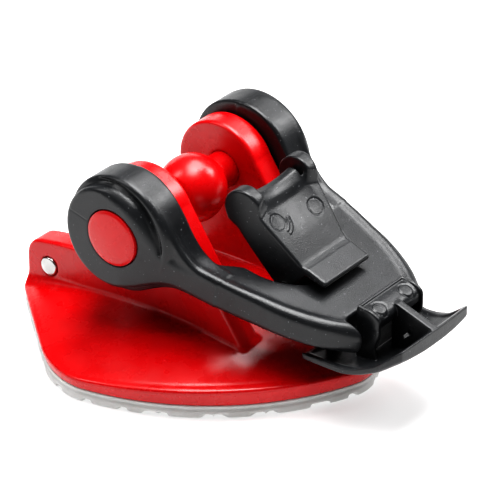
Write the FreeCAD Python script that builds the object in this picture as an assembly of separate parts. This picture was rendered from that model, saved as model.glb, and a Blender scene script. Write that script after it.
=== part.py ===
import FreeCAD, Part
import math
import os

# Lever cam cleat: a red two-eared base on a rubber pad, a black lever that swings on
# the red cross-shaft, a sprung jaw in the lever's window and a sprung tab at its tail.
# Millimetres. X is across (along the pivot axis), +Y runs to the lever's tail, +Z is up.
# The origin is on the plane the pad rests on, straight below the pivot axis.

V = FreeCAD.Vector
ORIGIN = V(0, 0, 0)
X_AXIS = V(1, 0, 0)
Z_AXIS = V(0, 0, 1)

# --- driving dimensions -------------------------------------------------------------
pad_h = 3.6                  # rubber pad
pad_inset = 0.8
groove_d = 0.9               # grooves across the pad's sole
groove_w = 1.8
groove_pitch = 8.8

rim_top = 6.3                # top of the base's thin edge
base_front = -37.4
front_half_w = 21.0          # half width of the straight front edge
front_slope_deg = 49.8       # the diagonal front edges
flank_r = 67.8               # the long curved flanks
flank_x = 19.8
flank_y = -10.0
shoulder_r = 24.0
tail_r = 16.0
dome_r = 170.0               # crowned top of the base
dome_y = 10.0
dome_top = 13.2
dome_inset = 0.6

ear_in = 11.8
ear_out = 18.5
ear_front = -13.9            # front of the upright arm
ear_foot_y = 30.2            # back foot
ear_foot_z = 11.2
head_r = 12.4
head_y = -1.5
head_z = 35.9
lobe_h = 18.6                # height of the front lobe at its nose
lobe_rise = 2.2
lobe_r = 5.2
slot_end = -11.0             # the base is open between the ears in front of this
slot_end_r = 21.5

pin_r = 2.5
pin_y = -30.1
pin_z = 11.9
pin_len = 37.8

axis_z = 36.4                # pivot axis, at y = 0
shaft_r = 4.6
ball_r = 8.5
ball_half_w = 6.65
spigot_r = 3.2
cap_r = 7.1
cap_end = 31.0

lever_tilt_deg = -12.4       # the lever's slope at rest
hub_r = 14.9
hub_in = 18.9
hub_out = 30.0
hub_edge_r = 2.6
bore_gap = 0.07              # running clearance, on the radius
deck_top = 2.0               # lever heights are measured from the pivot axis
deck_bottom = -6.0
skin = 3.0
wall = 2.5
arm_out = 27.0
arm_start_y = 6.0
neck_out = 26.4
neck_end = 22.4
neck_top_r = 8.0
neck_low_r = 6.0
hollow_front = 24.5          # the arms are solid in front of this
rib_rows = (30.0, 38.0)
rib_half_t = 0.8
arm_mid = (23.3, 34.5)
arm_end = (13.6, 60.3)
lobe_tip_y = 63.0
notch_half_w = 11.3
notch_y = 55.4
window_half_w = 14.5
window_y = 29.3              # centre of the window's round end
step_y = (22.6, 26.0)        # the window narrows between these

hinge_r = 1.25               # the two small steel hinge pins
coil_in = 0.2                # the springs' coils, outside the pins
coil_out = 1.15
coil_half_w = 4.6
jaw_hinge = (35.5, 26.8)
jaw_pin_half = 14.8
jaw_boss_r = 2.4
jaw_wide = 12.5
jaw_narrow = 8.7
jaw_wall = 2.3
taper_y = (25.0, 39.8)       # the jaw narrows between these
jaw_bend = (39.9, 33.5)      # the ramp bends here into the thumb lip
horn_r = 5.0
horn = (24.6, 44.8)

tab_hinge = (48.0, 22.0)
tab_pin_half = 16.5
tab_lug_r = 2.1
tab_floor = 1.6
bracket_half_w = 8.8
bracket_y = 56.0
bracket_top = 29.2
tab_web = 1.8
tab_rim = 1.5
hood_rear = 62.0             # the bracket's hood ends in a short lip here
rib_w = 2.2
lug_in = 6.0
lug_out = 9.0
tray_front = 46.6
tray_rear = 72.6
tray_bottom = 13.7           # the flat front of the tray's floor
tray_root = 14.5             # the bracket, rib and lugs start inside the floor
bend_y = 61.0                # the floor slopes up behind this

past = 5.0                   # how far a cutting tool runs past the stock
wide_span = 40.0             # half the width of a tool that cuts right across


# --- small helpers ------------------------------------------------------------------
def block(x0, x1, y0, y1, z0, z1):
    return Part.makeBox(x1 - x0, y1 - y0, z1 - z0, V(x0, y0, z0))


def rod(r, x0, x1, y, z):
    return Part.makeCylinder(r, x1 - x0, V(x0, y, z), X_AXIS)


def post(r, x, y, z0, z1):
    return Part.makeCylinder(r, z1 - z0, V(x, y, z0), Z_AXIS)


def side_prism(points, x0, x1):
    """A closed outline of (y, z) points, drawn out along X."""
    wire = Part.makePolygon([V(x0, y, z) for y, z in points + points[:1]])
    return Part.Face(wire).extrude(V(x1 - x0, 0, 0))


def plan_prism(points, z0, z1):
    """A closed outline of (x, y) points, drawn up along Z."""
    wire = Part.makePolygon([V(x, y, z0) for x, y in points + points[:1]])
    return Part.Face(wire).extrude(V(0, 0, z1 - z0))


def mirrored(shape):
    return shape.mirror(ORIGIN, X_AXIS)


def both(shape):
    return shape.fuse(mirrored(shape))


def along(edge, axis):
    if edge.Curve.TypeId != "Part::GeomLine":
        return False
    run = edge.Vertexes[1].Point - edge.Vertexes[0].Point
    return abs(run.normalize().dot(axis)) > 0.999


def rounded(shape, radius, axis, near, reach):
    """Round the edges that run along an axis and whose middle lies near a point."""
    chosen = []
    for edge in shape.Edges:
        if along(edge, axis):
            gap = edge.CenterOfMass - near
            gap = gap - axis * gap.dot(axis)
            if gap.Length < reach:
                chosen.append(edge)
    return shape.makeFillet(radius, chosen)


def tilted(shape):
    """Place a shape drawn in the lever's own level frame at the lever's rest slope."""
    placed = shape.copy()
    placed.rotate(ORIGIN, X_AXIS, lever_tilt_deg)
    placed.translate(V(0, 0, axis_z))
    return placed


def tidy(shape):
    return shape.removeSplitter()


# --- the base -----------------------------------------------------------------------
def base_plan(inset, z0, z1):
    """The shield-shaped plan of the base, drawn up from z0 to z1."""
    flank = flank_r - inset
    lens = post(flank, -flank_x, flank_y, z0, z1).common(post(flank, flank_x, flank_y, z0, z1))
    slope = math.radians(front_slope_deg)
    reach = 60.0
    rear = 80.0
    side = front_half_w - inset * math.tan(slope / 2)
    front = base_front + inset
    wide = side + reach * math.cos(slope)
    back = front + reach * math.sin(slope)
    wedge = [(-side, front), (side, front), (wide, back), (wide, rear), (-wide, rear), (-wide, back)]
    plan = lens.common(plan_prism(wedge, z0, z1))
    corner_x = 47.5
    corner_y = -5.8
    tail_y = 54.5
    plan = rounded(plan, shoulder_r - inset, Z_AXIS, V(corner_x, corner_y, 0), 4)
    plan = rounded(plan, shoulder_r - inset, Z_AXIS, V(-corner_x, corner_y, 0), 4)
    return rounded(plan, tail_r - inset, Z_AXIS, V(0, tail_y, 0), 3)


def pin_slot(half_w, z0, z1):
    """The opening between the ears, in front of the base's curved floor edge."""
    slot = block(-half_w, half_w, base_front - past, 0, z0, z1)
    return slot.cut(post(slot_end_r, 0, slot_end + slot_end_r, z0, z1))


def ear():
    run = head_y - ear_foot_y
    rise = head_z - ear_foot_z
    span = math.hypot(run, rise)
    tangent = math.atan2(rise, run) - math.asin(head_r / span)
    length = math.sqrt(span ** 2 - head_r ** 2)
    shoulder = (ear_foot_y + length * math.cos(tangent), ear_foot_z + length * math.sin(tangent))
    arm = side_prism([(ear_front, pad_h), (ear_front, head_z), (head_y, head_z), shoulder,
                      (ear_foot_y, ear_foot_z), (ear_foot_y, pad_h)], ear_in, ear_out)
    lobe = side_prism([(base_front, pad_h), (base_front, lobe_h), (ear_front + 1, lobe_h + lobe_rise),
                       (ear_front + 1, pad_h)], ear_in, ear_out)
    lobe = rounded(lobe, lobe_r, X_AXIS, V(0, base_front, lobe_h), 1)
    head = rod(head_r, ear_in, ear_out, head_y, head_z)
    return tidy(arm.fuse(lobe).fuse(head))


def base_frame():
    rim = base_plan(0, pad_h, rim_top)
    dome = Part.makeSphere(dome_r, V(0, dome_y, dome_top - dome_r))
    crown = base_plan(dome_inset, pad_h, dome_top + 1).common(dome)
    body = rim.fuse(crown).cut(pin_slot(ear_in, 0, lobe_h))
    body = body.fuse(both(ear()))
    body = body.cut(rod(pin_r, -ear_out - 1, ear_out + 1, pin_y, pin_z))
    return tidy(body.cut(rod(shaft_r, -ear_out - 1, ear_out + 1, 0, axis_z)))


def grip_pad():
    pad = base_plan(pad_inset, 0, pad_h).cut(pin_slot(ear_in - 0.4, -1, pad_h + 1))
    reach = 60.0
    count = 6
    for i in range(-count, count):
        middle = (i + 0.5) * groove_pitch
        low = middle - groove_w / 2
        high = middle + groove_w / 2
        pad = pad.cut(block(low, high, -reach, reach, -1, groove_d))
        pad = pad.cut(block(-reach, reach, low, high, -1, groove_d))
    return pad


def cross_pin():
    pin = rod(pin_r, -pin_len / 2, pin_len / 2, pin_y, pin_z)
    return pin.makeChamfer(0.4, [e for e in pin.Edges if e.Closed])


# --- the cross-shaft ----------------------------------------------------------------
def pivot_ball():
    ball = Part.makeSphere(ball_r, V(0, 0, axis_z))
    ball = ball.common(block(-ball_half_w, ball_half_w, -ball_r, ball_r, 0, axis_z + ball_r))
    return ball.cut(rod(spigot_r, -ball_half_w - 1, ball_half_w + 1, 0, axis_z))


def pivot_stub():
    """A domed head that fills the lever's hub, a shank in the ear, a spigot in the ball."""
    head_start = ear_out + 0.1
    middle_gap = 0.2
    dome_rise = 0.7
    curve_r = (cap_r ** 2 + dome_rise ** 2) / (2 * dome_rise)
    head = rod(cap_r, head_start, cap_end, 0, axis_z)
    head = head.common(Part.makeSphere(curve_r, V(cap_end - curve_r, 0, axis_z)))
    shank = rod(shaft_r, ball_half_w, head_start, 0, axis_z)
    spigot = rod(spigot_r, middle_gap, ball_half_w, 0, axis_z)
    return tidy(head.fuse(shank).fuse(spigot))


# --- the lever, drawn level about the pivot axis ------------------------------------
def arm_edge(inset):
    """The lever's curved flank, from beside the hub to the tail lobe."""
    start = V(arm_out - inset, arm_start_y, deck_bottom)
    middle = V(arm_mid[0] - inset, arm_mid[1], deck_bottom)
    end = V(arm_end[0] - inset * 0.8, arm_end[1] - inset * 0.6, deck_bottom)
    return Part.Arc(start, middle, end)


def deck_plan(inset, z0, z1):
    """Half of the lever's plan, on the +X side, without its window and notch."""
    edge = arm_edge(inset)
    tip_in = 0.2
    bend_in = 1.9
    bend_drop = 0.8
    tip = V(notch_half_w + tip_in, lobe_tip_y - inset, deck_bottom)
    bend = V(notch_half_w + bend_in - inset * 0.5, lobe_tip_y - bend_drop - inset, deck_bottom)
    centre_top = V(0, lobe_tip_y - inset, deck_bottom)
    centre_low = V(0, arm_start_y, deck_bottom)
    wire = Part.Wire([edge.toShape(), Part.Arc(edge.EndPoint, bend, tip).toShape(),
                      Part.makeLine(tip, centre_top), Part.makeLine(centre_top, centre_low),
                      Part.makeLine(centre_low, edge.StartPoint)])
    half = Part.Face(wire).extrude(V(0, 0, z1 - z0))
    half.translate(V(0, 0, z0 - deck_bottom))
    return half


def window(grow, z0, z1):
    """The U-shaped window between the arms, grown all round by a wall thickness."""
    wide = hub_in + grow
    narrow = window_half_w + grow
    front = -20.0
    outline = [(-wide, front), (wide, front), (wide, step_y[0]), (narrow, step_y[1]), (narrow, window_y),
               (-narrow, window_y), (-narrow, step_y[1]), (-wide, step_y[0])]
    return plan_prism(outline, z0, z1).fuse(post(narrow, 0, window_y, z0, z1))


def notch(grow, z0, z1):
    half_w = notch_half_w + grow
    return block(-half_w, half_w, notch_y - grow, lobe_tip_y + past, z0, z1)


def hub():
    """One ring with its neck, where the ring runs into the arm."""
    neck = rod(hub_r, hub_in, neck_out, 0, 0)
    neck = neck.fuse(block(hub_in, neck_out, 0, neck_end, deck_bottom, deck_top))
    top_y = math.sqrt(hub_r ** 2 - deck_top ** 2)
    low_y = math.sqrt(hub_r ** 2 - deck_bottom ** 2)
    neck = rounded(neck, neck_top_r, X_AXIS, V(0, top_y, deck_top), 0.5)
    neck = rounded(neck, neck_low_r, X_AXIS, V(0, low_y, deck_bottom), 0.5)
    ring = rod(hub_r, hub_in, hub_out, 0, 0)
    ring = ring.makeFillet(hub_edge_r, [e for e in ring.Edges if e.Closed and e.CenterOfMass.x > hub_out - 1])
    bore = rod(cap_r + bore_gap, hub_in - 1, hub_out + 1, 0, 0)
    return ring.fuse(neck).cut(bore)


def lever_ribs():
    """Short ribs under the deck that split its hollow into small pockets."""
    low = deck_bottom + 1.2
    high = deck_top - skin
    inner = 12.0
    outer = 24.0
    ribs = []
    for y in rib_rows:
        ribs.append(block(inner, outer, y - rib_half_t, y + rib_half_t, low, high))
        ribs.append(block(-outer, -inner, y - rib_half_t, y + rib_half_t, low, high))
    return ribs


def lever_frame():
    outer = both(deck_plan(0, deck_bottom, deck_top))
    hollow = both(deck_plan(wall, deck_bottom - 1, deck_top - skin))
    hollow = hollow.cut(window(wall, deck_bottom - 1, deck_top))
    hollow = hollow.cut(notch(wall, deck_bottom - 1, deck_top))
    hollow = hollow.cut(block(-wide_span, wide_span, 0, hollow_front, deck_bottom - 1, deck_top))
    deck = outer.cut(hollow)
    for rib in lever_ribs():
        deck = deck.fuse(rib.common(outer))
    deck = deck.cut(window(0, deck_bottom - 2, deck_top + 1))
    deck = deck.cut(notch(0, deck_bottom - 2, deck_top + 1))
    body = deck.fuse(both(hub()))
    body = body.cut(rod(cap_r + bore_gap, -wide_span, wide_span, 0, 0))
    body = tilted(body)
    body = body.cut(rod(hinge_r, -jaw_pin_half, jaw_pin_half, *jaw_hinge))
    return tidy(body.cut(rod(hinge_r, -tab_pin_half, tab_pin_half, *tab_hinge)))


def rocker_pin():
    return rod(hinge_r, -jaw_pin_half, jaw_pin_half, *jaw_hinge)


def tab_pin():
    return rod(hinge_r, -tab_pin_half, tab_pin_half, *tab_hinge)


def coil(centre):
    """A torsion spring's coil as the sleeve that its turns fill."""
    y, z = centre
    turns = rod(hinge_r + coil_out, -coil_half_w, coil_half_w, y, z)
    return turns.cut(rod(hinge_r + coil_in, -coil_half_w, coil_half_w, y, z))


def rocker_spring():
    return coil(jaw_hinge)


def tab_spring():
    return coil(tab_hinge)


# --- the sprung jaw -----------------------------------------------------------------
def rocker_jaw():
    """A ramp with two round horns, side walls, a bent thumb lip and hinge bosses."""
    boss_y, boss_z = jaw_hinge
    horn_y, horn_z = horn
    side = [(horn_y - 4.0, horn_z - 3.0), (horn_y - 4.0, horn_z + 3.0), (horn_y + 4.2, horn_z + 0.9),
            jaw_bend, (46.9, 31.2), (46.5, 29.7), (40.4, 31.5), (boss_y + 2.5, boss_z),
            (boss_y - 2.5, boss_z - 0.8), (23.6, 39.8)]
    body = side_prism(side, -jaw_wide, jaw_wide)
    body = body.fuse(rod(horn_r, -jaw_wide, jaw_wide, horn_y, horn_z))
    body = body.fuse(rod(jaw_boss_r, -jaw_wide, jaw_wide, boss_y, boss_z))
    front = 10.0
    rear = 60.0
    high = 80.0
    plan = [(-jaw_wide, front), (jaw_wide, front), (jaw_wide, taper_y[0]), (jaw_narrow, taper_y[1]),
            (jaw_narrow, rear), (-jaw_narrow, rear), (-jaw_narrow, taper_y[1]), (-jaw_wide, taper_y[0])]
    body = body.common(plan_prism(plan, 0, high))
    inner = [(x - math.copysign(jaw_wall, x), y) for x, y in plan]
    under = side_prism([(24.3, 42.6), (27.2, 42.6), (40.4, 31.3), (boss_y + 5, boss_z - 8),
                        (boss_y - 10, boss_z - 8), (18, 38)], -jaw_wide, jaw_wide)
    over = side_prism([(front, rear), (front, 45.9), (26.0, 45.9), jaw_bend, (rear, 55)], -jaw_wide, jaw_wide)
    face = side_prism([(front, rear), (front, 36), (22.5, 36), (24.0, 46.5)], -jaw_wide, jaw_wide)
    cavity = plan_prism(inner, 0, high)
    body = body.cut(cavity.common(under)).cut(cavity.common(over)).cut(cavity.common(face))
    return tidy(body.cut(rod(hinge_r + bore_gap, -wide_span, wide_span, boss_y, boss_z)))


# --- the sprung tab at the lever's tail ---------------------------------------------
def tray_plan(inset, z0, z1):
    rear = tray_rear - inset
    outline = [(17.4 - inset, tray_front + inset), (17.2 - inset, 57), (15.6 - inset, 64),
               (14.4 - inset, 71.0 - inset), (7.5, rear)]
    left = [(-x, y) for x, y in reversed(outline)]
    return plan_prism(outline + left, z0, z1)


def release_tab():
    """A thumb tray with a raised rear lip, a hooded bracket, a slotted rib and hinge lugs."""
    start = tray_front - 0.6
    floor_low = [(start, tray_bottom), (bend_y, tray_bottom), (66.0, 15.9), (70.0, 19.2), (tray_rear, 21.2)]
    floor_high = [(y, z + tab_floor) for y, z in reversed(floor_low)]
    high = 40.0
    floor = side_prism(floor_low + floor_high, -wide_span, wide_span).common(tray_plan(0, 0, high))
    rim_top_line = [(56, 16.4), (61, 17.1), (66.2, 19.8), (69.9, 23.2), (tray_rear + 0.1, 25.4)]
    rim_side = floor_low + rim_top_line[::-1] + [(start, 15.8)]
    ring = tray_plan(0, 0, high).cut(tray_plan(tab_rim, 0, high))
    rim = side_prism(rim_side, -wide_span, wide_span).common(ring)
    body = floor.fuse(rim)
    hood_under = bracket_top - 0.5 - tab_web
    hood_lip = 24.4
    hood = side_prism([(bracket_y, tray_root), (bracket_y, bracket_top), (60.0, bracket_top - 0.6),
                       (hood_rear, 27.2), (hood_rear, hood_lip), (hood_rear - 1.6, hood_lip),
                       (hood_rear - 1.6, 26.4), (59.6, hood_under), (bracket_y + tab_web, hood_under),
                       (bracket_y + tab_web, tray_root)], -bracket_half_w, bracket_half_w)
    flange = side_prism([(bracket_y, tray_root), (bracket_y, bracket_top), (60.4, bracket_top - 0.5),
                         (hood_rear + 0.4, 27.2), (hood_rear, 21.0), (61.2, tray_root)],
                        bracket_half_w - tab_web, bracket_half_w)
    rib_end = tray_rear - 0.6
    rib_start = hood_rear - 1.0
    rib = side_prism([(rib_start, tray_root), (rib_start, 28.0), (rib_end, 25.0), (rib_end, 21.6),
                      (66.5, 17.1)], -rib_w / 2, rib_w / 2)
    rib_slot = side_prism([(63.5, 20.3), (65.5, 22.4), (66.3, 21.6), (64.3, 19.5)], -rib_w, rib_w)
    rib = rib.cut(rib_slot)
    hinge_y, hinge_z = tab_hinge
    lug = rod(tab_lug_r, lug_in, lug_out, hinge_y, hinge_z)
    lug = lug.fuse(block(lug_in, lug_out, hinge_y - 0.3, hinge_y + tab_lug_r, tray_root, hinge_z))
    body = body.fuse(hood).fuse(both(flange)).fuse(rib).fuse(both(lug))
    return tidy(body.cut(rod(hinge_r + bore_gap, -wide_span, wide_span, hinge_y, hinge_z)))


# --- write one file per piece -------------------------------------------------------
stub = pivot_stub()
pieces = {
    "base_frame": base_frame(),
    "grip_pad": grip_pad(),
    "cross_pin": cross_pin(),
    "pivot_ball": pivot_ball(),
    "pivot_stub_right": stub,
    "pivot_stub_left": mirrored(stub),
    "lever_frame": lever_frame(),
    "rocker_jaw": rocker_jaw(),
    "rocker_pin": rocker_pin(),
    "rocker_spring": rocker_spring(),
    "release_tab": release_tab(),
    "tab_pin": tab_pin(),
    "tab_spring": tab_spring(),
}

os.makedirs("parts", exist_ok=True)
for name, shape in pieces.items():
    shape.exportStep("parts/" + name + ".step")
    print(name, shape.isValid(), len(shape.Solids), round(shape.Volume, 1))
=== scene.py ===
import math

import bmesh
import bpy
import numpy as np
import openvdb
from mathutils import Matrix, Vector


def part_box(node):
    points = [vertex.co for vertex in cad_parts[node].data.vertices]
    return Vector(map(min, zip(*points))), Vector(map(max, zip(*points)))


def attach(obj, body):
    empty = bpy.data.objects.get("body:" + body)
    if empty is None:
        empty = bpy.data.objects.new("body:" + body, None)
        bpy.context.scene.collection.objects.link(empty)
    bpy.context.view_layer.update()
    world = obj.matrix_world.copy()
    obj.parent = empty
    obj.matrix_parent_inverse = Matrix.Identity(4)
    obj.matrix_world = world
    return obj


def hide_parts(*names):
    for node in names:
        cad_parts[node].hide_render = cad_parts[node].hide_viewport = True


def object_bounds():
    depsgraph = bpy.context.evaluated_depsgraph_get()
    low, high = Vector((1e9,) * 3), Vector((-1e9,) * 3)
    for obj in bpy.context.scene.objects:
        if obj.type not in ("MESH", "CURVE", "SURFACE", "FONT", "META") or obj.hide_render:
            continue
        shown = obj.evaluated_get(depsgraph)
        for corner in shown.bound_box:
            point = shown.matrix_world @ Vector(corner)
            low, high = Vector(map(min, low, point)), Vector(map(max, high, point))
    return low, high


# Looks of the lever cam cleat. Each moulded piece is a signed distance field (negative
# inside, in millimetres) on a lattice of points, meshed and placed in the row frame.
# Turned pieces are lathed profiles. Every piece stands for one CAD node.

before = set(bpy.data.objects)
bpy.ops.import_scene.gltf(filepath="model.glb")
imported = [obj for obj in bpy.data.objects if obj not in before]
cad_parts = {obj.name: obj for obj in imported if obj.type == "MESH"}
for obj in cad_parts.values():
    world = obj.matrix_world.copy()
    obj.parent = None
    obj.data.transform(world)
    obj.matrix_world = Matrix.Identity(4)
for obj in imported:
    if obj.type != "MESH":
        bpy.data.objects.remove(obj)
CAD_LOW, CAD_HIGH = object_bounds()
MM = 0.001


def box_mm(node):
    low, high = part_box(node)
    return low / MM, high / MM


def hinge_of(node):
    """Where a pin's axis is, as (y, z)."""
    low, high = box_mm(node)
    return (low.y + high.y) / 2, (low.z + high.z) / 2


BASE_LOW, BASE_HIGH = box_mm("base_frame")
CAP_LOW, CAP_HIGH = box_mm("pivot_stub_right")
BALL_LOW, BALL_HIGH = box_mm("pivot_ball")
CROSS_LOW, CROSS_HIGH = box_mm("cross_pin")

AXIS_Z = (CAP_LOW.z + CAP_HIGH.z) / 2      # the pivot axis, at y = 0
CAP_R = (CAP_HIGH.z - CAP_LOW.z) / 2
SHAFT_R = 4.6
SPIGOT_R = 3.2
CROSS_Y = (CROSS_LOW.y + CROSS_HIGH.y) / 2
CROSS_Z = (CROSS_LOW.z + CROSS_HIGH.z) / 2
CROSS_R = (CROSS_HIGH.z - CROSS_LOW.z) / 2
JAW_HINGE = hinge_of("rocker_pin")
TAB_HINGE = hinge_of("tab_pin")
STEEL_PIN_R = 1.25
TILT = math.radians(-12.4)                 # the lever's slope at rest
MARGIN = 0.9                               # how far a lattice reaches past its piece


# --- fields -------------------------------------------------------------------------
class Lattice:
    """Points from low to high, a step apart. It starts as the half from x = 0 on."""

    def __init__(self, low, high, step):
        self.step = step
        self.half = True
        self.low = np.array(low, float)
        counts = [int((h - l) / step) + 2 for l, h in zip(self.low, high)]
        x, y, z = (np.arange(n, dtype=np.float32) * step + l for n, l in zip(counts, self.low))
        self.x = x[:, None, None]
        self.y = y[None, :, None]
        self.z = z[None, None, :]

    def unfold(self, field):
        """Mirror a half lattice's field to both sides of x = 0 and make this the whole lattice."""
        reach = field.shape[0] - 1
        self.half = False
        self.low[0] = -reach * self.step
        x = np.arange(2 * reach + 1) * self.step + self.low[0]
        self.x = x.astype(np.float32)[:, None, None]
        return np.concatenate([field[:0:-1], field])


def meet(a, b, r=0.0):
    """Solid where both are, with the edge between them rounded to r."""
    sharp = np.maximum(a, b)
    if np.max(r) == 0:
        return sharp
    return np.minimum(sharp, -r) + np.hypot(np.maximum(a + r, 0), np.maximum(b + r, 0))


def join(a, b, r=0.0):
    """Solid where either is, with the corner between them filleted to r."""
    return -meet(-a, -b, r)


def cut(a, b, r=0.0):
    return meet(a, -b, r)


def slab(u, low, high):
    return np.abs(u - (low + high) / 2) - (high - low) / 2


def step_up(u, start, end):
    """0 before start, 1 after end, smooth between."""
    t = np.clip((u - start) / (end - start), 0, 1)
    return t * t * (3 - 2 * t)


def eased(u, places, values):
    """A line through (place, value) points with its corners eased."""
    shifts = (-1.2, -0.6, 0.0, 0.6, 1.2)
    return sum(np.interp(u + d, places, values) for d in shifts).astype(np.float32) / len(shifts)


def bell(u, width):
    """A smooth bump of height 1, gone at half the width to either side."""
    return np.clip(1 - (2 * u / width) ** 2, 0, 1) ** 2


def outline(*corners):
    """A closed outline of (u, v, radius) corners, each rounded with an arc of points."""
    arc_points = 7
    made = []
    for i, (u, v, r) in enumerate(corners):
        here = np.array([u, v], float)
        if r == 0:
            made.append(here)
            continue
        back = np.array(corners[i - 1][:2]) - here
        on = np.array(corners[(i + 1) % len(corners)][:2]) - here
        back_run, on_run = np.linalg.norm(back), np.linalg.norm(on)
        back, on = back / back_run, on / on_run
        half = math.acos(np.clip(back @ on, -1, 1)) / 2
        reach = min(r / math.tan(half), 0.49 * back_run, 0.49 * on_run)
        r = reach * math.tan(half)
        inward = (back + on) / np.linalg.norm(back + on)
        centre = here + inward * r / math.sin(half)
        first, last = here + back * reach - centre, here + on * reach - centre
        turn = math.pi - 2 * half
        for k in range(arc_points):
            t = k / (arc_points - 1)
            share = np.array([math.sin((1 - t) * turn), math.sin(t * turn)]) / math.sin(turn)
            made.append(centre + share[0] * first + share[1] * last)
    return made


def arc_through(p, q, r, count=14):
    """Points on the circle from p through q to r."""
    p, q, r = (np.array(s, float) for s in (p, q, r))
    lhs = 2 * np.array([q - p, r - p])
    rhs = np.array([q @ q - p @ p, r @ r - p @ p])
    centre = np.linalg.solve(lhs, rhs)
    radius = np.linalg.norm(p - centre)
    start = math.atan2(*(p - centre)[::-1])
    end = math.atan2(*(r - centre)[::-1])
    end = start + (end - start + math.pi) % (2 * math.pi) - math.pi
    angles = np.linspace(start, end, count)
    return [centre + radius * np.array([math.cos(a), math.sin(a)]) for a in angles]


def area_in(u, v, points):
    """Signed distance from (u, v) to a closed outline."""
    nearest = np.full(np.broadcast(u, v).shape, 1e9, np.float32)
    inside = np.zeros(nearest.shape, bool)
    for (au, av), (bu, bv) in zip(points, points[1:] + points[:1]):
        run_u, run_v = bu - au, bv - av
        length2 = run_u ** 2 + run_v ** 2
        if length2 < 1e-9:
            continue
        t = np.clip(((u - au) * run_u + (v - av) * run_v) / length2, 0, 1)
        gap2 = (u - au - t * run_u) ** 2 + (v - av - t * run_v) ** 2
        nearest = np.minimum(nearest, gap2)
        if run_v != 0:
            crossing = ((av > v) != (bv > v)) & (u < run_u * (v - av) / run_v + au)
            inside ^= crossing
    distance = np.sqrt(nearest)
    return np.where(inside, -distance, distance)


def flat_side(u, v, point, angle_deg):
    """The half plane behind a line through a point that rises at that angle."""
    slope = math.radians(angle_deg)
    return (u - point[0]) * math.sin(slope) - (v - point[1]) * math.cos(slope)


# --- meshes -------------------------------------------------------------------------
def sample(field, places):
    """The field's value between its points, by linear steps."""
    whole = np.clip(np.floor(places).astype(int), 0, np.array(field.shape) - 2)
    part = places - whole
    value = np.zeros(len(places))
    for corner in range(8):
        offset = np.array([corner & 1, corner >> 1 & 1, corner >> 2 & 1])
        weight = np.prod(np.where(offset, part, 1 - part), axis=1)
        i, j, k = (whole + offset).T
        value += weight * field[i, j, k]
    return value


def slope_of(field, places):
    """The field's gradient between its points, by differences a little way to each side."""
    reach = 0.6
    slopes = []
    for unit in np.eye(3):
        ahead = sample(field, places + reach * unit)
        behind = sample(field, places - reach * unit)
        slopes.append((ahead - behind) / (2 * reach))
    return np.stack(slopes, axis=1)


def moulded(name, field, lattice, body, material, node, place=None):
    """The skin of a field as a smooth mesh that stands for a CAD node.

    The mesh points are moved onto the field's zero surface by Newton steps.
    """
    if lattice.half:
        field = lattice.unfold(field)
    field = np.ascontiguousarray(field, dtype=np.float32)
    volume = openvdb.FloatGrid(float(lattice.step * 3))
    volume.copyFromArray(field)
    places, quads = volume.convertToQuads(isovalue=0.0)
    places = places.astype(float)
    flattest = 0.02
    furthest = 0.5
    for _ in range(3):
        slope = slope_of(field, places)
        steep = np.maximum((slope ** 2).sum(axis=1), flattest)
        move = (sample(field, places) / steep)[:, None] * slope
        places -= np.clip(move, -furthest, furthest)
    points = places * lattice.step + lattice.low
    if place:
        points = place(points)
    return mesh_piece(name, points * MM, quads.tolist(), body, material, node)


def mesh_piece(name, points, faces, body, material, node):
    mesh = bpy.data.meshes.new(name)
    mesh.from_pydata(points.tolist(), [], faces)
    mesh.validate()
    mesh.shade_smooth()
    mesh.materials.append(material)
    piece = bpy.data.objects.new(name, mesh)
    bpy.context.scene.collection.objects.link(piece)
    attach(piece, body)
    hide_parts(node)
    return piece


def crisp(piece, angle_deg=32):
    """Merge points that meet and keep the edges sharper than an angle crisp."""
    work = bmesh.new()
    work.from_mesh(piece.data)
    bmesh.ops.remove_doubles(work, verts=work.verts, dist=1e-7)
    work.to_mesh(piece.data)
    work.free()
    piece.data.shade_smooth()
    piece.data.set_sharp_from_angle(angle=math.radians(angle_deg))
    return piece


def lathe(name, profile, centre, body, material, node, segments=96):
    """A profile of (x, radius) points turned about an axis along X at centre (y, z)."""
    points, faces = [], []
    count = len(profile)
    for s in range(segments):
        angle = 2 * math.pi * s / segments
        for x, r in profile:
            points.append((x, centre[0] + r * math.cos(angle), centre[1] + r * math.sin(angle)))
        for i in range(count):
            j, t = (i + 1) % count, (s + 1) % segments
            faces.append((s * count + i, t * count + i, t * count + j, s * count + j))
    return crisp(mesh_piece(name, np.array(points) * MM, faces, body, material, node))


def tube(name, path, radius, body, material, node, sides=14):
    """A round wire along a path of points in millimetres, closed at both ends."""
    path = np.array(path)
    ahead = np.gradient(path, axis=0)
    ahead /= np.linalg.norm(ahead, axis=1)[:, None]
    points, faces = [], []
    side = np.cross(ahead[0], [0.3, 0.5, 0.8])
    for place, way in zip(path, ahead):
        side = side - way * (side @ way)
        side /= np.linalg.norm(side)
        other = np.cross(way, side)
        for k in range(sides):
            angle = 2 * math.pi * k / sides
            points.append(place + radius * (math.cos(angle) * side + math.sin(angle) * other))
    for i in range(len(path) - 1):
        for k in range(sides):
            n = (k + 1) % sides
            here, there = i * sides, (i + 1) * sides
            faces.append((here + k, here + n, there + n, there + k))
    last = (len(path) - 1) * sides
    faces.append(tuple(reversed(range(sides))))
    faces.append(tuple(last + k for k in range(sides)))
    return mesh_piece(name, np.array(points) * MM, faces, body, material, node)


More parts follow.
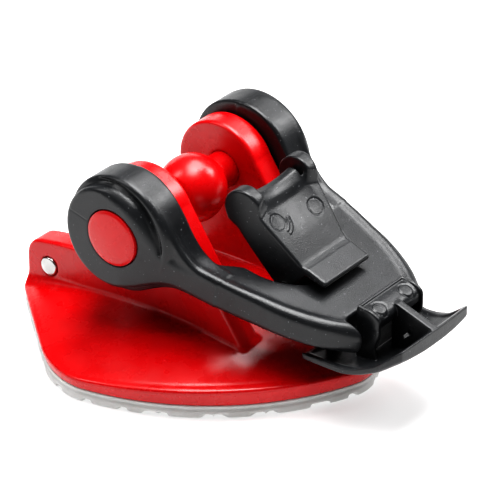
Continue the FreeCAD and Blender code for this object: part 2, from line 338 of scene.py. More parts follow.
# --- materials ----------------------------------------------------------------------
class Shader:
    """A material's node tree with short calls for the nodes that these finishes use."""

    def __init__(self, name):
        self.material = bpy.data.materials.new(name)
        self.material.use_nodes = True
        self.tree = self.material.node_tree
        self.surface = self.tree.nodes["Principled BSDF"]
        self.places = self.node("ShaderNodeTexCoord").outputs["Object"]

    def node(self, kind, **values):
        made = self.tree.nodes.new(kind)
        for key, value in values.items():
            setattr(made, key, value)
        return made

    def link(self, start, end):
        self.tree.links.new(start, end)

    def set(self, **values):
        for key, value in values.items():
            self.surface.inputs[key.replace("_", " ")].default_value = value

    def noise(self, size_mm, detail=2.0, stretch=(1, 1, 1)):
        """Noise with features about that size, drawn out along an axis by stretch."""
        mapping = self.node("ShaderNodeMapping")
        mapping.inputs["Scale"].default_value = [1 / s for s in stretch]
        self.link(self.places, mapping.inputs["Vector"])
        texture = self.node("ShaderNodeTexNoise")
        texture.inputs["Scale"].default_value = 1 / (size_mm * MM)
        texture.inputs["Detail"].default_value = detail
        self.link(mapping.outputs["Vector"], texture.inputs["Vector"])
        return texture.outputs["Fac"]

    def ramp(self, value, *stops):
        made = self.node("ShaderNodeValToRGB")
        elements = made.color_ramp.elements
        while len(elements) < len(stops):
            elements.new(0.5)
        for element, (place, colour) in zip(elements, stops):
            element.position = place
            element.color = (*colour, 1)
        self.link(value, made.inputs["Fac"])
        return made.outputs["Color"]

    def spread(self, value, low, high):
        """A value of about 0.3 to 0.7 stretched to run from low to high."""
        made = self.node("ShaderNodeMapRange")
        made.inputs["From Min"].default_value = 0.3
        made.inputs["From Max"].default_value = 0.7
        made.inputs["To Min"].default_value = low
        made.inputs["To Max"].default_value = high
        self.link(value, made.inputs["Value"])
        return made.outputs["Result"]

    def blend(self, fac, first, second):
        made = self.node("ShaderNodeMix", data_type="RGBA")
        self.link(fac, made.inputs["Factor"])
        for value, socket in ((first, made.inputs[6]), (second, made.inputs[7])):
            if hasattr(value, "default_value"):
                self.link(value, socket)
            else:
                socket.default_value = (*value, 1)
        return made.outputs[2]

    def bumps(self, *layers):
        """Layers of (height, depth in mm) bumped one on another."""
        normal = None
        for height, depth in layers:
            made = self.node("ShaderNodeBump")
            made.inputs["Strength"].default_value = 1.0
            made.inputs["Distance"].default_value = depth * MM
            self.link(height, made.inputs["Height"])
            if normal:
                self.link(normal, made.inputs["Normal"])
            normal = made.outputs["Normal"]
        self.link(normal, self.surface.inputs["Normal"])


def red_finish():
    """Saturated red moulded plastic: a satin gloss with faint flow clouds and handling marks."""
    s = Shader("red_plastic")
    clouds = s.noise(14, 3)
    colour = s.ramp(clouds, (0.3, (0.52, 0.0005, 0.003)), (0.7, (0.62, 0.0008, 0.004)))
    flecks = s.ramp(s.noise(0.8, 1), (0.77, (0, 0, 0)), (0.80, (1, 1, 1)))
    s.link(s.blend(flecks, colour, (0.72, 0.03, 0.04)), s.surface.inputs["Base Color"])
    s.link(s.spread(s.noise(5, 4), 0.22, 0.33), s.surface.inputs["Roughness"])
    s.set(Specular_IOR_Level=0.5)
    s.bumps((s.noise(0.45, 3), 0.012), (s.noise(9, 1), 0.05))
    return s.material


def black_finish():
    """Charcoal moulded plastic with a fine spark texture, scuffs and a few pale specks of dust."""
    s = Shader("black_plastic")
    clouds = s.noise(9, 4)
    colour = s.ramp(clouds, (0.3, (0.0105, 0.0112, 0.0125)), (0.7, (0.020, 0.021, 0.023)))
    specks = s.ramp(s.noise(0.5, 0), (0.80, (0, 0, 0)), (0.83, (1, 1, 1)))
    s.link(s.blend(specks, colour, (0.13, 0.135, 0.14)), s.surface.inputs["Base Color"])
    s.link(s.spread(s.noise(2, 4), 0.29, 0.37), s.surface.inputs["Roughness"])
    s.bumps((s.noise(0.35, 3), 0.04), (s.noise(8, 1), 0.02))
    return s.material


def steel_finish(name, lines_mm):
    """Bright drawn steel with fine turning lines round the pin."""
    s = Shader(name)
    lines = s.noise(lines_mm, 3, stretch=(1, 60, 60))
    tint = s.ramp(s.noise(4, 2), (0.3, (0.40, 0.40, 0.39)), (0.7, (0.55, 0.55, 0.54)))
    s.link(tint, s.surface.inputs["Base Color"])
    s.link(s.spread(lines, 0.14, 0.30), s.surface.inputs["Roughness"])
    s.set(Metallic=1.0)
    s.bumps((lines, 0.004))
    return s.material


def rubber_finish():
    """Milky white rubber, slightly translucent, with a fine matt grain and a little grime."""
    s = Shader("white_rubber")
    grime = s.noise(11, 4)
    colour = s.ramp(grime, (0.3, (0.60, 0.60, 0.585)), (0.65, (0.70, 0.70, 0.69)))
    s.link(colour, s.surface.inputs["Base Color"])
    s.link(s.spread(s.noise(1.5, 3), 0.42, 0.62), s.surface.inputs["Roughness"])
    s.set(Subsurface_Weight=0.25, Subsurface_Scale=0.003, Subsurface_Radius=(1, 1, 0.95))
    s.bumps((s.noise(0.3, 2), 0.03))
    return s.material


def floor_finish():
    s = Shader("pale_floor")
    tint = s.ramp(s.noise(120, 2), (0.3, (0.52, 0.52, 0.52)), (0.7, (0.56, 0.56, 0.56)))
    s.link(tint, s.surface.inputs["Base Color"])
    s.set(Roughness=0.7, Specular_IOR_Level=0.2, Emission_Color=(1, 1, 1, 1), Emission_Strength=0.42)
    return s.material


RED = red_finish()
BLACK = black_finish()
STEEL = steel_finish("pin_steel", 0.12)
WIRE = steel_finish("spring_steel", 0.3)
RUBBER = rubber_finish()


# --- the base -----------------------------------------------------------------------
RIM_Z = 6.7                  # the base's outermost line, where its side meets the crown
SIDE_DRAFT = 0.34            # the side leans in below that line
FLANK_R = 67.78              # the two long sides are arcs that cross at the back
FLANK_X = 19.8
FLANK_Y = -10.0
BACK_R = 3.0
SHOULDER_X = 21.0            # straight shoulders run out from the front edge
SHOULDER_DEG = 49.8
SHOULDER_R = 7.2
FRONT_R = 1.6
DOME_R = 170.0
DOME_Y = 10.0
DOME_TOP = 13.2
EDGE_R = 0.9
RIM_GROOVE_IN = 1.7          # a faint groove just inside the rim
RIM_GROOVE_W = 1.6
RIM_GROOVE_D = 0.09
EAR_IN = 11.8
EAR_OUT = 18.5
EAR_FOOT = 2.0
ARM_FRONT = -13.9
ARM_BACK = 30.2
HEAD_R = 12.4
HEAD_Y = -1.5
HEAD_Z = 35.9
SLOT_END_R = 21.5            # the slot between the ears ends in an arc before the ball
SLOT_END_Y = -11.0
SLOT_TOP = 19.0


def base_plan(x, y):
    """Distance to the shield-shaped plan of the base, for x of 0 or more."""
    near = np.hypot(x + FLANK_X, y - FLANK_Y) - FLANK_R
    far = np.hypot(x - FLANK_X, y - FLANK_Y) - FLANK_R
    plan = meet(near, far, BACK_R)
    plan = meet(plan, flat_side(x, y, (SHOULDER_X, BASE_LOW.y), SHOULDER_DEG), SHOULDER_R)
    return meet(plan, BASE_LOW.y - y, FRONT_R)


def ear_side(y, z):
    """Distance to the ear's side view: a low front lobe and an upright arm with a round head."""
    lobe = area_in(y, z, outline(
        (BASE_LOW.y, EAR_FOOT, 0), (BASE_LOW.y, 17.3, 5.4), (-25.0, 19.9, 70),
        (-10.0, 20.7, 0), (-10.0, EAR_FOOT, 0)))
    arm = area_in(y, z, [
        (ARM_FRONT, EAR_FOOT), (ARM_FRONT, HEAD_Z), (HEAD_Y, HEAD_Z), (8.8, 42.6),
        (ARM_BACK, 11.2), (ARM_BACK, EAR_FOOT)])
    head = np.hypot(y - HEAD_Y, z - HEAD_Z) - HEAD_R
    return join(lobe, np.minimum(arm, head), 2.2)


def slot_plan(g, inset=0.0):
    """Distance to the plan of the slot between the ears, narrower by inset at each side."""
    arc = SLOT_END_R - np.hypot(g.x, g.y - SLOT_END_Y - SLOT_END_R)
    return meet(g.x - EAR_IN + inset, arc, 1.2)


def base_field(g):
    """A crowned plate with drafted sides, two ears, the slot between them and the pins' holes."""
    plan = base_plan(g.x, g.y)
    side = (plan + (RIM_Z - g.z) * SIDE_DRAFT) * math.cos(math.atan(SIDE_DRAFT))
    crown = np.sqrt(g.x ** 2 + (g.y - DOME_Y) ** 2 + (g.z - DOME_TOP + DOME_R) ** 2) - DOME_R
    body = meet(side, crown, EDGE_R)
    groove = bell(plan + RIM_GROOVE_IN, RIM_GROOVE_W) * step_up(g.z, RIM_Z - 1.5, RIM_Z - 0.5)
    body = meet(body + RIM_GROOVE_D * groove, BASE_LOW.z - g.z, 0.3)
    ear = meet(ear_side(g.y, g.z), slab(g.x, EAR_IN, EAR_OUT), EDGE_R)
    foot_r = 0.9 + 2.0 * (1 - step_up(g.y, -36, -16))
    body = join(body, ear, foot_r)
    body = meet(body, BASE_LOW.y - g.y, 0.8)
    slot = np.maximum(slot_plan(g), np.maximum(g.y, g.z - SLOT_TOP))
    body = cut(body, slot, 0.7)
    pin_hole = np.hypot(g.y - CROSS_Y, g.z - CROSS_Z) - CROSS_R
    shaft_hole = np.hypot(g.y, g.z - AXIS_Z) - SHAFT_R
    return cut(cut(body, pin_hole, 0.35), shaft_hole, 0.3)


def make_base():
    low = (0, BASE_LOW.y - MARGIN, BASE_LOW.z - MARGIN)
    high = (BASE_HIGH.x + MARGIN, BASE_HIGH.y + MARGIN, HEAD_Z + HEAD_R + MARGIN)
    g = Lattice(low, high, 0.34)
    moulded("base_moulding", base_field(g), g, "base", RED, "base_frame")


# --- the rubber pad -----------------------------------------------------------------
PAD_INSET = 0.9
PAD_SLOT_INSET = 0.4
WAIST_Z = 2.6
WAIST_H = 1.6
WAIST_D = 0.35
TREAD_PITCH = 8.8
TREAD_W = 2.2
TREAD_D = 1.1


def pad_field(g):
    """A soft-edged sole with a waist round its side and grooves that notch its lower edge."""
    waist = WAIST_D * bell(g.z - WAIST_Z, WAIST_H)
    body = meet(base_plan(g.x, g.y) + PAD_INSET + waist, g.z - BASE_LOW.z, 0.4)
    body = meet(body, -g.z, 0.7)
    across = np.abs(g.x % TREAD_PITCH - TREAD_PITCH / 2) - TREAD_W / 2
    along = np.abs(g.y % TREAD_PITCH - TREAD_PITCH / 2) - TREAD_W / 2
    tread = meet(np.minimum(across, along), g.z - TREAD_D, 0.5)
    body = cut(body, tread, 0.4)
    return cut(body, np.maximum(slot_plan(g, PAD_SLOT_INSET), g.y), 0.5)


def make_pad():
    low = (0, BASE_LOW.y - MARGIN, -MARGIN)
    high = (BASE_HIGH.x + MARGIN, BASE_HIGH.y + MARGIN, BASE_LOW.z + MARGIN)
    g = Lattice(low, high, 0.32)
    pad = moulded("grip_pad_rubber", pad_field(g), g, "base", RUBBER, "grip_pad")


# --- turned pieces ------------------------------------------------------------------
def both_ends(half):
    """A profile from its right half, whose first point is on the middle."""
    return [(-x, r) for x, r in half[:0:-1]] + half


def make_ball():
    """The ball is flattened where the shanks meet it, with a small neck at each side."""
    ball_r = (BALL_HIGH.z - BALL_LOW.z) / 2
    half_w = BALL_HIGH.x
    neck = 0.35
    neck_r = SHAFT_R + 0.25
    face = math.asin((half_w - neck) / ball_r)
    profile = [(-half_w, SPIGOT_R), (-half_w, neck_r)]
    profile += [(ball_r * math.sin(a), ball_r * math.cos(a)) for a in np.linspace(-face, face, 48)]
    profile += [(half_w, neck_r), (half_w, SPIGOT_R)]
    lathe("ball", profile, (0, AXIS_Z), "base", RED, "pivot_ball", 128)


def make_stub(side, node):
    """A domed head with a rounded rim, a shank and a spigot that reaches into the ball."""
    end = CAP_HIGH.x
    rise = 0.7
    edge = 0.45
    bevel = 0.3
    root = BALL_HIGH.x
    seat = EAR_OUT + 0.1
    dome_r = (CAP_R ** 2 + rise ** 2) / (2 * rise)

    def dome_x(r):
        return end - dome_r + math.sqrt(dome_r ** 2 - r ** 2)

    profile = [(0.2, 0.0), (0.2, SPIGOT_R), (root, SPIGOT_R)]
    profile += [(root, SHAFT_R - bevel), (root + bevel, SHAFT_R), (seat, SHAFT_R)]
    profile += [(seat, CAP_R - bevel), (seat + bevel, CAP_R), (end - rise - edge, CAP_R)]
    profile += [(dome_x(r) - 0.35 * edge, r) for r in (CAP_R - 0.06, CAP_R - 0.2)]
    profile += [(dome_x(r), r) for r in (CAP_R - edge, 6.1, 5.4, 4.7, 4.0, 3.0, 2.0, 1.0, 0.0)]
    turned = [(side * x, r) for x, r in profile][::side]
    lathe(node + "_moulding", turned, (0, AXIS_Z), "base", RED, node, 128)


def make_cross_pin():
    end = CROSS_HIGH.x
    edge = 0.45
    half = [(0.0, CROSS_R), (end - edge, CROSS_R)]
    half += [(end - edge + edge * math.sin(a), CROSS_R - edge + edge * math.cos(a))
             for a in np.linspace(0.3, math.pi / 2, 6)]
    half += [(end, 0.0)]
    lathe("steel_cross_pin", both_ends(half), (CROSS_Y, CROSS_Z), "base", STEEL, "cross_pin")


# --- the lever, drawn level about the pivot axis -------------------------------------
HUB_R = 14.87
HUB_IN = 18.9
HUB_OUT = 30.0
LEVER_TOP = 2.0
LEVER_BOTTOM = -6.0
LEVER_MID = (LEVER_TOP + LEVER_BOTTOM) / 2
LEVER_HALF_H = (LEVER_TOP - LEVER_BOTTOM) / 2
LEVER_END = 62.9
NECK_UPPER_R = 9.0           # the hub's fillets into the arm, above and below
NECK_LOWER_R = 6.0
RING_OUT = 27.8              # the ring's own edge, under the raised boss
BOSS_R = 13.0                # the boss sits a little forward and low on the ring
BOSS_Y = -1.2
BOSS_Z = -0.9
BOSS_FALL = 5.5              # how far the boss's face falls back on its way to the arm
BOSS_END = 27.5
CRESCENT_W = 2.2             # a groove round the upper rear of the boss
CRESCENT_D = 1.5
LEVER_SKIN = 3.0
LEVER_WALL = 2.5
HOLLOW_Y = 24.5
HOLLOW_RIBS = (30.0, 38.0)
HOLLOW_RIB_W = 1.6
WINDOW_HALF_W = 14.5
WINDOW_Y = 29.3
NOTCH_HALF_W = 11.3
NOTCH_Y = 55.4
CAP_CLEARANCE = 0.12


def on_lever(points):
    """From the lever's level frame to the row frame at rest."""
    x, y, z = points.T
    c, s = math.cos(TILT), math.sin(TILT)
    return np.stack([x, y * c - z * s, y * s + z * c + AXIS_Z], axis=1)


def lever_plan(x, y):
    """Distance to the lever's outer plan: curved flanks that close in to two tail lobes."""
    points = [(-8.0, -4.0), (26.9, -4.0)]
    points += arc_through((26.9, 8.0), (25.2, 24.5), (22.9, 36.8), 8)
    points += arc_through((22.4, 38.8), (19.4, 49.6), (13.9, 59.2), 12)
    points += arc_through((13.2, 60.2), (11.2, 62.1), (8.6, LEVER_END), 7)
    points += [(-8.0, LEVER_END)]
    return area_in(x, y, points)


def window_plan(x, y):
    """Distance to the U-shaped window, which widens from its round end to the hubs' gap."""
    half_w = HUB_IN - (HUB_IN - WINDOW_HALF_W) * step_up(y, 22.4, 29.0)
    stem = np.maximum((x - half_w) * 0.8, y - WINDOW_Y)
    return np.minimum(stem, np.hypot(x, y - WINDOW_Y) - WINDOW_HALF_W)


def lever_hollow(g, walls):
    """The space under the deck, with two ribs across it."""
    hollow = meet(walls + LEVER_WALL, g.z - (LEVER_TOP - LEVER_SKIN), 0.6)
    hollow = np.maximum(hollow, HOLLOW_Y - g.y)
    for rib_y in HOLLOW_RIBS:
        rib = np.maximum(np.abs(g.y - rib_y) - HOLLOW_RIB_W / 2, slab(g.x, 12, 24))
        hollow = cut(hollow, rib, 0.3)
    return hollow


def arm_field(g, plan, window):
    """Ring, neck, arms and deck: a raised bead along the outer edge with a groove inside it."""
    bar = meet(np.abs(g.z - LEVER_MID) - LEVER_HALF_H, -g.y)
    neck_r = np.where(g.z > LEVER_MID, NECK_UPPER_R, NECK_LOWER_R)
    side = join(np.hypot(g.y, g.z) - HUB_R, bar, neck_r)
    bead_r = 1.2 + 1.2 * step_up(g.y, 20, 56) + 0.8 * step_up(g.y, 54, 61)
    bead_w = bead_r + 1.1
    upper = step_up(g.z, LEVER_MID, LEVER_MID + 2) * step_up(g.y, 3, 9)
    drop = 0.45 * step_up(-plan, bead_w - 0.6, bead_w + 1.2)
    groove = 0.15 * bell(plan + bead_w, 2.2)
    body = meet(plan, side + upper * (drop + groove), bead_r)
    body = np.where(g.y < 9, np.maximum(body, HUB_IN - g.x), body)
    notch = meet(g.x - NOTCH_HALF_W, NOTCH_Y - g.y, 1.8)
    walls = np.maximum(np.maximum(plan, -window), -notch)
    body = cut(body, lever_hollow(g, walls), 0.4)
    return cut(body, notch, 1.0)


def boss_round(g):
    """Distance to the raised boss's circle."""
    return np.hypot(g.y - BOSS_Y, g.z - BOSS_Z) - BOSS_R


def sector(g, rise, fall):
    """1 between two angles about the axis, in radians up from the tail, eased at both ends."""
    angle = np.arctan2(g.z, g.y)
    return step_up(angle, *rise) * (1 - step_up(angle, *fall))


def boss_field(g):
    """The hub's thicker outer part: a ring with a step, and a face that runs back into the arm."""
    ring = meet(np.hypot(g.y, g.z) - HUB_R, g.x - RING_OUT, 1.3)
    ring = meet(ring, HUB_IN - g.x, 0.9)
    face = HUB_OUT - BOSS_FALL * step_up(g.y, 3, 27)
    run = meet(np.abs(g.z - LEVER_MID) - LEVER_HALF_H + 0.5, -g.y)
    upper_rear = sector(g, (-0.3, 0.2), (1.6, 2.3))
    edge = 1.2 + 1.9 * upper_rear * (1 - step_up(g.y, 17, 26))
    boss = meet(meet(join(boss_round(g), run, 7.0), g.x - face, edge), 20 - g.x)
    boss = np.maximum(boss, g.y - BOSS_END)
    knit = bell(g.z - 0.4, 0.5) * (g.y < 0)
    return np.minimum(ring, boss) + 0.10 * knit


def lever_field(g):
    """Arms and hubs joined, with the window and the heads' bores cut through them."""
    window = window_plan(g.x, g.y)
    body = arm_field(g, lever_plan(g.x, g.y), window)
    inside = step_up(HUB_R - np.hypot(g.y, g.z), 0.2, 1.4) + step_up(g.y, 8, 14)
    body = join(body, boss_field(g), np.minimum(inside, 1.0) * 1.1)
    crescent = bell(boss_round(g) - 0.9, CRESCENT_W) * sector(g, (0.0, 0.5), (1.9, 2.5))
    body = body + CRESCENT_D * crescent * step_up(g.x, 25.4, 27.0)
    body = cut(body, window, 0.7)
    bore = np.hypot(g.y, g.z) - CAP_R - CAP_CLEARANCE
    return cut(body, bore, 0.4)


def make_lever():
    low = (0, -HUB_R - MARGIN, -HUB_R - MARGIN)
    high = (HUB_OUT + MARGIN, LEVER_END + 1.1, HUB_R + MARGIN)
    g = Lattice(low, high, 0.28)
    moulded("lever_moulding", lever_field(g), g, "lever", BLACK,
            "lever_frame", on_lever)


# --- the jaw ------------------------------------------------------------------------
JAW_WIDE = 12.5
JAW_NARROW = 8.7
JAW_WALL = 1.9
JAW_FLARE = 0.97             # cosine of the angle that its sides close in at
JAW_BOSS_R = 2.4
HORN_Y = 24.6
HORN_Z = 44.8
HORN_R = 5.0
HORN_IN = 8.3
SADDLE_SAG = 1.3
ROLL_Y = 24.9                # the rounded top edge between the horns
ROLL_Z = 45.0
ROLL_R = 2.2
HEEL_HALF_W = 7.6
HEEL_ROOM = 1.3
RAMP_Y = 32.6                # a point on the ramp, and the way down it
RAMP_Z = 40.0
RAMP_WAY = (0.746, -0.666)
MARK_R = 2.1
PIN_CLEARANCE = 0.07


def jaw_side(y, z):
    """Distance to the jaw's side view: horn, ramp, bent lip and the boss round its hinge pin."""
    side = area_in(y, z, outline(
        (20.4, 41.4, 1.5), (19.8, 47.0, 3.5), (24.3, 50.4, 4.0), (28.9, 45.2, 3.0),
        (39.6, 33.75, 3.0), (46.9, 31.3, 0.7), (46.4, 29.8, 0.6), (40.6, 31.2, 1.2),
        (37.6, 27.2, 0.8), (33.6, 26.4, 0.8), (23.4, 39.7, 2.5)))
    horn = np.hypot(y - HORN_Y, z - HORN_Z) - HORN_R
    boss = np.hypot(y - JAW_HINGE[0], z - JAW_HINGE[1]) - JAW_BOSS_R
    return np.minimum(np.minimum(side, horn), boss)


def hinge_bore(g, hinge):
    """Distance to the hole for a steel hinge pin."""
    return np.hypot(g.y - hinge[0], g.z - hinge[1]) - STEEL_PIN_R - PIN_CLEARANCE


def with_saddle(g, body):
    """Scoop the ramp out between the horns and side walls, and roll its top edge over."""
    sag = SADDLE_SAG * np.clip(1 - (g.x / HORN_IN) ** 2, 0, 1) * (1 - step_up(g.y, 26, 36))
    over = area_in(g.y, g.z, [
        (10, 60), (10, 46.6), (25.6, 47.2), (27.6, 45.6),
        (39.9, 33.45), (41.0, 33.3), (60, 44), (60, 60)])
    between = g.x - HORN_IN - 6.0 * step_up(g.y, 28.2, 30.4)
    body = cut(body, meet(between, over - sag * 0.75, 1.8), 0.45)
    front = area_in(g.y, g.z, [(10, 60), (10, 30), (22.4, 30), (23.6, 47.5), (23.6, 60)])
    body = cut(body, meet(g.x - HORN_IN, front, 0.5), 0.3)
    roll = np.hypot(g.y - ROLL_Y, g.z + sag - ROLL_Z) - ROLL_R
    return join(body, meet(roll, g.x - HORN_IN + 1.1, 0.6), 2.0)


def with_front(g, body):
    """Cut the recess, its two pockets and the slits beside the horns, and add the bar below."""
    recess = meet(slab(g.y, 10, 25.0), slab(g.z, 41.0, 43.6), 0.4)
    body = cut(body, meet(recess, g.x - 7.4, 0.4), 0.3)
    pocket = meet(slab(g.y, 10, 28.0), slab(g.z, 41.3, 43.3), 0.3)
    body = cut(body, meet(slab(g.x, 2.2, 6.4), pocket, 0.3), 0.2)
    bar = meet(slab(g.y, 21.9, 25.5), slab(g.z, 38.2, 40.6), 0.5)
    body = join(body, meet(bar, g.x - 9.0, 0.4), 0.5)
    slit = meet(slab(g.x, 7.3, HORN_IN), slab(g.y, 10, 27.2), 0.2)
    return cut(body, meet(slit, 42.6 - g.z, 0.2), 0.25)


def jaw_heel(g):
    """The block under the lip, clear of the window's round end."""
    heel = area_in(g.y, g.z, outline(
        (33.5, 27.0, 0), (38.5, 32.2, 0), (43.0, 31.4, 1), (43.0, 24.0, 2), (36.0, 24.0, 1)))
    lever_y = g.y * math.cos(TILT) + (g.z - AXIS_Z) * math.sin(TILT)
    room = np.hypot(g.x, lever_y - WINDOW_Y) - WINDOW_HALF_W + HEEL_ROOM
    return meet(meet(heel, room, 0.5), g.x - HEEL_HALF_W, 0.5)


def jaw_field(g):
    """A ramp between side walls, two round horns, a recessed front and a bent thumb lip."""
    half_w = eased(g.y, (20.5, 24, 27, 31, 39.8), (JAW_WIDE, 12.3, 11.85, 10.95, JAW_NARROW))
    across = (g.x - half_w) * JAW_FLARE
    body = meet(jaw_side(g.y, g.z), across, 0.7)
    under = area_in(g.y, g.z, [
        (24.6, 42.4), (27.2, 42.4), (40.3, 31.0), (42, 18), (24, 18), (18, 36)])
    body = cut(body, meet(across + JAW_WALL, under, 0.5), 0.3)
    body = with_front(g, with_saddle(g, body))
    body = join(body, jaw_heel(g), 0.3)
    return cut(body, hinge_bore(g, JAW_HINGE), 0.15)


def jaw_marks(g, body):
    """Two round ejector marks on the ramp, with a raised double arc beside the right one."""
    along = (g.y - RAMP_Y) * RAMP_WAY[0] + (g.z - RAMP_Z) * RAMP_WAY[1]
    on_ramp = step_up(g.y, 28.5, 29.0) * step_up(g.z, 34.0, 35.0)
    for x, place, arcs in ((6.9, -1.9, (3.0, 3.9)), (-6.0, -0.3, ())):
        gap = np.hypot(g.x - x, along - place)
        body = body + 0.16 * bell(gap - MARK_R, 0.7) * on_ramp + 0.10 * (gap < MARK_R - 0.3) * on_ramp
        for r in arcs:
            facing = 0.61 * (along - place) - 0.79 * (g.x - x) > 0.8 * gap
            body = body - 0.2 * bell(gap - r, 0.6) * on_ramp * facing
    return body


def make_jaw():
    g = Lattice((0, 18.0, 22.5), (JAW_WIDE + 0.8, 48.0, 51.4), 0.22)
    body = g.unfold(jaw_field(g))
    moulded("jaw_moulding", jaw_marks(g, body), g, "jaw", BLACK, "rocker_jaw")


# --- the tab ------------------------------------------------------------------------
TAB_HALF_W = 15.5            # its half width where the floor starts to curl up
TAB_FLOOR = 1.6
TAB_RIM_TOP = 25.35
BRACKET_HALF_W = 8.8
BRACKET_Y = 56.0
BRACKET_FOOT = 14.5
BRACKET_TOP = 29.2
HOOD_BACK = 62.0
MARK_X = 5.1
MARK_Y = 59.8
TAB_RIB_W = 2.2
RIB_SLOT_Y = 64.9            # the slot in the rib, and the way along its length
RIB_SLOT_Z = 20.9
RIB_SLOT_WAY = (0.69, 0.72)
RIB_SLOT_HALF_L = 1.45
RIB_SLOT_HALF_W = 0.55
LUG_R = 2.1


def tab_plan(x, y):
    """Distance to the tab's plan, which narrows a little and ends in rounded corners."""
    points = [(-6.0, 46.6), (17.2, 46.6)]
    points += arc_through((17.5, 47.2), (17.0, 56.0), (15.4, 65.0), 8)
    points += arc_through((15.2, 67.0), (14.6, 70.4), (12.8, 72.1), 6)
    points += arc_through((12.0, 72.2), (6.0, 72.48), (0.0, 72.55), 4)
    points += [(-6.0, 72.5)]
    return area_in(x, y, points)


def tab_tray(g):
    """A thumb tray whose floor curls up at the back, with a lip that rises along its edge."""
    plan = tab_plan(g.x, g.y)
    spread = g.x / TAB_HALF_W
    low = eased(g.y, (46, 58, 62, 66, 69, 71, 72.6), (13.7, 13.7, 14.3, 16.0, 18.3, 20.0, 21.2))
    bottom = low + (1.2 + 0.8 * step_up(g.y, 57, 66)) * spread ** 2.4
    rim_line = eased(g.y, (46, 55, 60.7, 63, 66.2, 69.9, 71.4, 72.6),
                     (16.3, 16.5, 17.0, 17.9, 19.8, 23.0, 24.4, 25.4))
    rim_top = np.minimum(rim_line, TAB_RIM_TOP - 0.5 * spread ** 4)
    lip_w = 1.5 + 0.3 * step_up(g.y, 69.5, 72.0)
    shell = meet(plan, bottom - g.z, 0.5)
    floor = meet(shell, g.z - bottom - TAB_FLOOR, 0.3)
    lip = meet(shell, -(plan + lip_w), 0.3)
    lip = meet(lip, g.z - np.maximum(rim_top, bottom + TAB_FLOOR), 0.45)
    return join(floor, lip, 0.8 * step_up(-plan, 0.3, 1.2))


def tab_hood(g):
    """The bracket's front wall and hooked top, with a round ejector mark at each side."""
    hood = area_in(g.y, g.z, outline(
        (BRACKET_Y, BRACKET_FOOT, 0), (BRACKET_Y, 28.7, 0.4), (59.6, 28.6, 6.0),
        (HOOD_BACK, 27.2, 2.2), (HOOD_BACK, 24.4, 0.5), (60.4, 24.4, 0.5), (60.3, 26.4, 1.2),
        (57.8, 27.0, 0.8), (57.8, BRACKET_FOOT, 0)))
    marks = bell(np.hypot(g.x - MARK_X, g.y - MARK_Y) - 1.9, 0.7) * (g.z > 26.5)
    return meet(hood + 0.22 * marks, g.x - BRACKET_HALF_W, 0.4)


def tab_cheeks(g):
    """The bracket's side walls and the raised frame along its front edge."""
    frame_edge = meet(slab(g.y, BRACKET_Y, BRACKET_Y + 0.8), slab(g.z, 15, BRACKET_TOP), 0.25)
    frame_edge = meet(frame_edge, g.x - BRACKET_HALF_W, 0.3)
    cheek = area_in(g.y, g.z, outline(
        (BRACKET_Y, BRACKET_FOOT, 0), (BRACKET_Y, BRACKET_TOP, 0.5), (60.2, 28.9, 4),
        (62.5, 27.4, 1.8), (62.5, 22.4, 6.0), (60.8, 19.0, 5.0), (62.4, 15.0, 0)))
    cheek = meet(cheek, slab(g.x, BRACKET_HALF_W - 1.1, BRACKET_HALF_W), 0.4)
    return np.minimum(cheek, frame_edge)


def tab_rib(g):
    """The upright rib behind the hood, with a small slot through it."""
    rib = area_in(g.y, g.z, outline(
        (60.5, BRACKET_FOOT, 0), (60.5, 28.0, 0.6), (61.8, 28.1, 1.0), (72.0, 25.0, 0.5),
        (72.0, 21.8, 0), (66.5, 17.2, 0)))
    rib = meet(rib, g.x - TAB_RIB_W / 2, 0.25)
    y, z = g.y - RIB_SLOT_Y, g.z - RIB_SLOT_Z
    along = y * RIB_SLOT_WAY[0] + z * RIB_SLOT_WAY[1]
    across = y * RIB_SLOT_WAY[1] - z * RIB_SLOT_WAY[0]
    slot = np.maximum(np.abs(across) - RIB_SLOT_HALF_W, np.abs(along) - RIB_SLOT_HALF_L)
    return cut(rib, slot, 0.1)


def tab_lugs(g):
    """The lugs in front of the bracket that the hinge pin runs through."""
    y, z = TAB_HINGE
    arm = meet(slab(g.y, y - 0.4, y + LUG_R), slab(g.z, BRACKET_FOOT, z))
    lug = np.minimum(np.hypot(g.y - y, g.z - z) - LUG_R, arm)
    return meet(lug, slab(g.x, 6.0, 9.0), 0.3)


def tab_field(g):
    """A thumb tray, a hooded bracket with cheeks, a rib and the hinge lugs."""
    body = join(tab_tray(g), tab_hood(g), 0.3)
    body = join(body, tab_cheeks(g), 0.25)
    body = join(body, tab_rib(g), 0.35)
    body = join(body, tab_lugs(g), 0.3)
    return cut(body, hinge_bore(g, TAB_HINGE), 0.15)


def make_tab():
    g = Lattice((0, 45.8, 12.8), (18.6, 73.4, 30.0), 0.2)
    moulded("tab_moulding", tab_field(g), g, "tab", BLACK, "release_tab")


# --- springs and hinge pins ---------------------------------------------------------
WIRE_R = 0.42
SPRING_TURNS = 9
TURN_STEPS = 24


def make_spring(name, centre, node):
    """A torsion spring's coil about a hinge pin."""
    low, high = box_mm(node)
    coil_r = (high.z - low.z) / 2 - WIRE_R
    half = (high.x - low.x) / 2 - WIRE_R
    path = []
    for i in range(SPRING_TURNS * TURN_STEPS + 1):
        turn = i / TURN_STEPS
        x = half * (2 * turn / SPRING_TURNS - 1)
        angle = 2 * math.pi * turn
        path.append((x, centre[0] + coil_r * math.cos(angle), centre[1] + coil_r * math.sin(angle)))
    tube(name, path, WIRE_R, "lever", WIRE, node, 10)


def make_hinge_pin(name, centre, node):
    end = box_mm(node)[1].x
    edge = 0.25
    half = [(0.0, STEEL_PIN_R), (end - edge, STEEL_PIN_R), (end, STEEL_PIN_R - edge), (end, 0.0)]
    lathe(name, both_ends(half), centre, "lever", STEEL, node, 40)


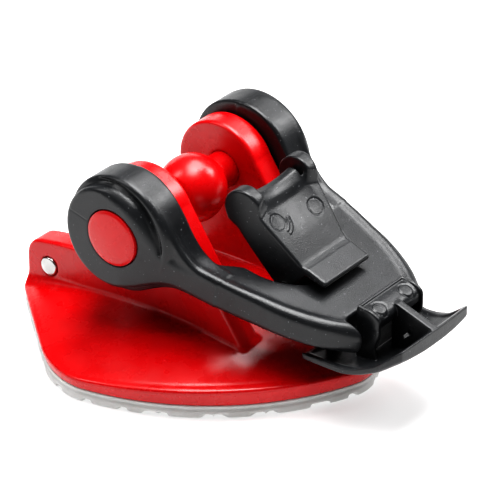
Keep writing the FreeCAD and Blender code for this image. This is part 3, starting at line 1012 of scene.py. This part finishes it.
# --- the studio ---------------------------------------------------------------------
VIEW_AZIMUTH = 128.4         # the photographed direction, in the row frame
VIEW_ELEVATION = 31.15
VIEW_DISTANCE = 0.92         # metres
LENS_MM = 278
SENSOR_MM = 36


def towards(azimuth_deg, elevation_deg):
    a, e = math.radians(azimuth_deg), math.radians(elevation_deg)
    return Vector((math.sin(a) * math.cos(e), -math.cos(a) * math.cos(e), math.sin(e)))


def soft_light(name, azimuth, elevation, distance, width, height, power):
    """A rectangular lamp that faces the object, at an azimuth measured from the camera's."""
    lamp = bpy.data.lights.new(name, "AREA")
    lamp.shape = "RECTANGLE"
    lamp.size = width
    lamp.size_y = height
    lamp.energy = power
    holder = bpy.data.objects.new(name, lamp)
    way = towards(VIEW_AZIMUTH + azimuth, elevation)
    holder.location = way * distance
    holder.rotation_mode = "QUATERNION"
    holder.rotation_quaternion = way.to_track_quat("Z", "Y")
    bpy.context.scene.collection.objects.link(holder)


def make_floor():
    half = 3.0
    corners = [(-half, -half, 0), (half, -half, 0), (half, half, 0), (-half, half, 0)]
    mesh = bpy.data.meshes.new("floor")
    mesh.from_pydata(corners, [], [(0, 1, 2, 3)])
    mesh.materials.append(floor_finish())
    floor = bpy.data.objects.new("floor", mesh)
    bpy.context.scene.collection.objects.link(floor)


def make_studio():
    """Soft lamps, a faint even sky and the view's tone curve."""
    soft_light("overhead", 150, 71, 1.0, 0.6, 0.7, 12)
    soft_light("backdrop", 180, 13, 1.9, 2.4, 0.5, 6)
    soft_light("zenith", 0, 84, 1.2, 0.5, 0.5, 7)
    soft_light("left_fill", -88, 50, 1.2, 0.3, 0.5, 3)
    soft_light("right_fill", 112, 40, 1.2, 0.4, 0.4, 5)
    world = bpy.data.worlds.new("studio")
    world.use_nodes = True
    sky = world.node_tree.nodes["Background"]
    sky.inputs["Color"].default_value = (1, 1, 1, 1)
    sky.inputs["Strength"].default_value = 0.06
    scene = bpy.context.scene
    scene.world = world
    scene.view_settings.view_transform = "Standard"
    scene.view_settings.look = "High Contrast"


def make_camera():
    centre = (CAD_LOW + CAD_HIGH) / 2
    way = towards(VIEW_AZIMUTH, VIEW_ELEVATION)
    lens = bpy.data.cameras.new("camera")
    lens.lens = LENS_MM
    lens.sensor_width = SENSOR_MM
    camera = bpy.data.objects.new("camera", lens)
    camera.location = centre + way * VIEW_DISTANCE
    camera.rotation_mode = "QUATERNION"
    camera.rotation_quaternion = way.to_track_quat("Z", "Y")
    bpy.context.scene.collection.objects.link(camera)
    bpy.context.scene.camera = camera


# --- put it together ----------------------------------------------------------------
make_base()
make_pad()
make_ball()
make_stub(1, "pivot_stub_right")
make_stub(-1, "pivot_stub_left")
make_cross_pin()
make_lever()
make_jaw()
make_tab()
make_spring("jaw_spring_wire", JAW_HINGE, "rocker_spring")
make_spring("tab_spring_wire", TAB_HINGE, "tab_spring")
make_hinge_pin("jaw_hinge_pin", JAW_HINGE, "rocker_pin")
make_hinge_pin("tab_hinge_pin", TAB_HINGE, "tab_pin")
make_floor()
make_studio()
make_camera()
